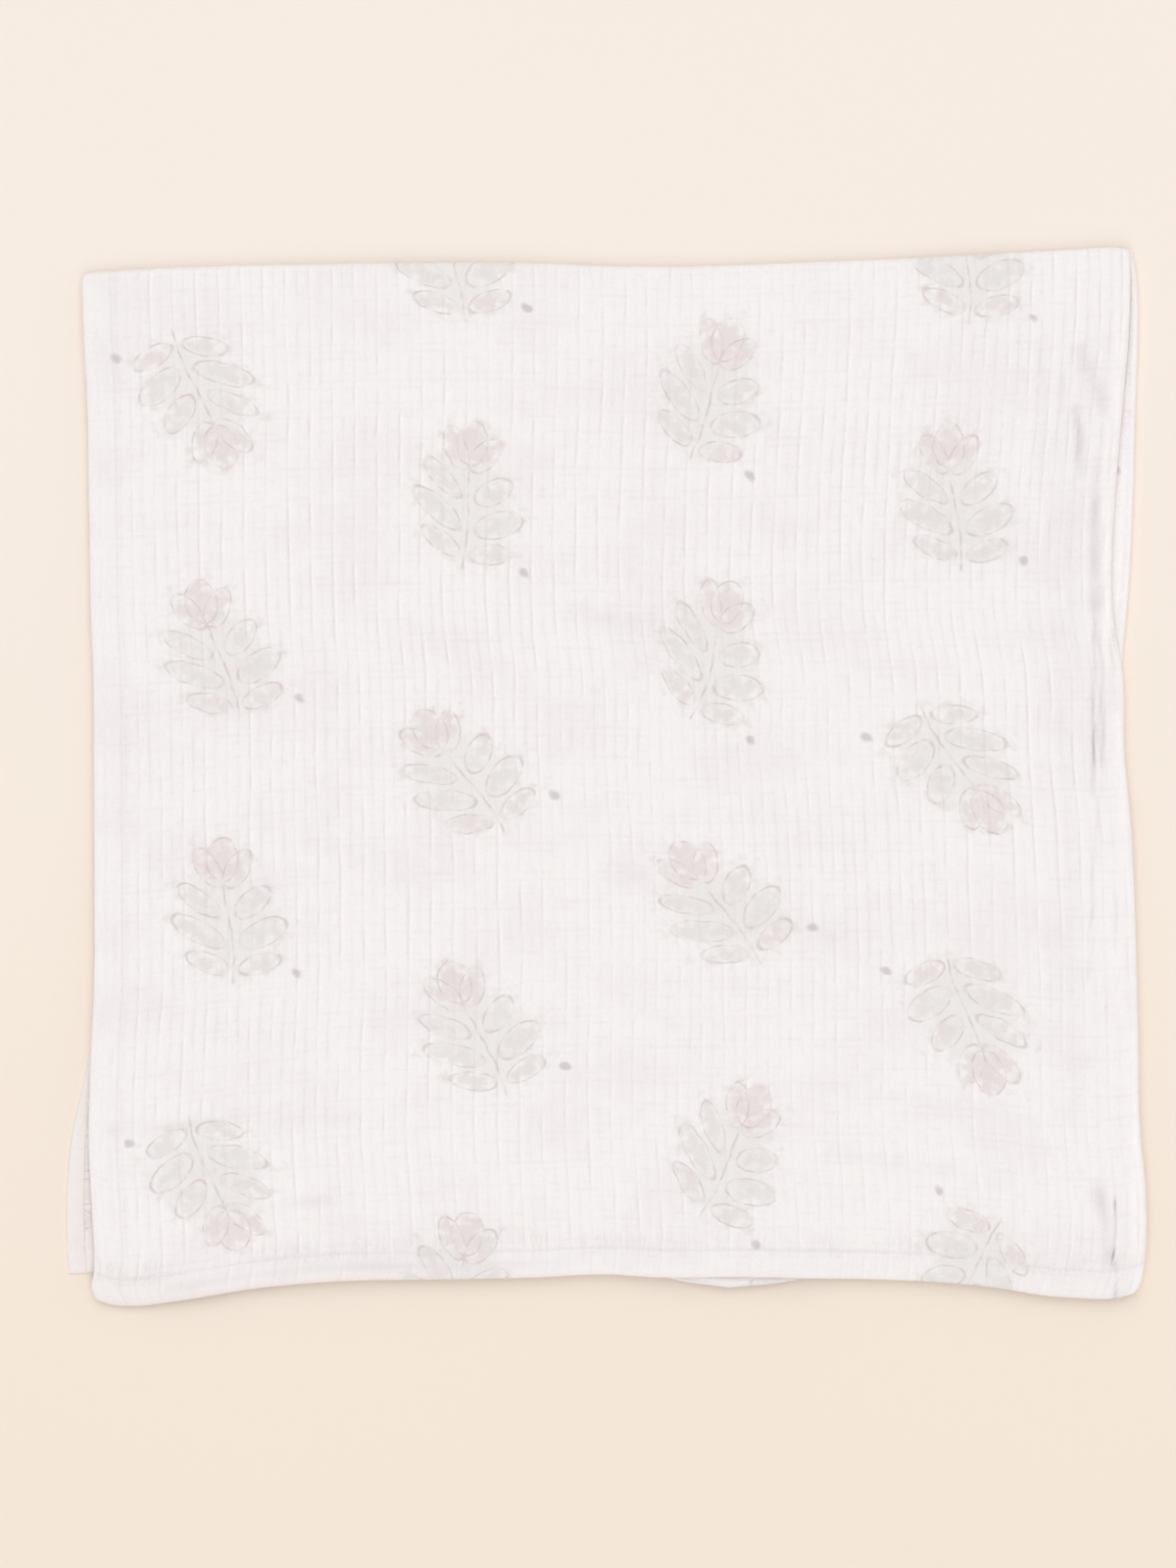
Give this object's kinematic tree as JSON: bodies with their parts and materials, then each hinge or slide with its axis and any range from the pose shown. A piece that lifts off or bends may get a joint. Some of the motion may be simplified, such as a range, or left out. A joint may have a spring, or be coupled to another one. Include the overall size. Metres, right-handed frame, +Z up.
{
  "type": "folded swaddle blanket",
  "caption": "Square baby swaddle of crinkled double-gauze muslin, hemmed all round, with a pale print, folded flat into a smaller square.",
  "frame": {"origin": "middle of the folded blanket's outline, at its underside", "axes": "+Z up, +X to the side with the stacked folds, +Y to the side with the single outer fold"},
  "size_m": [0.6181, 0.6062, 0.0111],
  "materials": {
    "muslin": "matt crinkled cotton muslin, near white, with a pale print"
  },
  "bodies": {
    "root": {"blanket": "muslin"}
  },
  "joints": []
}
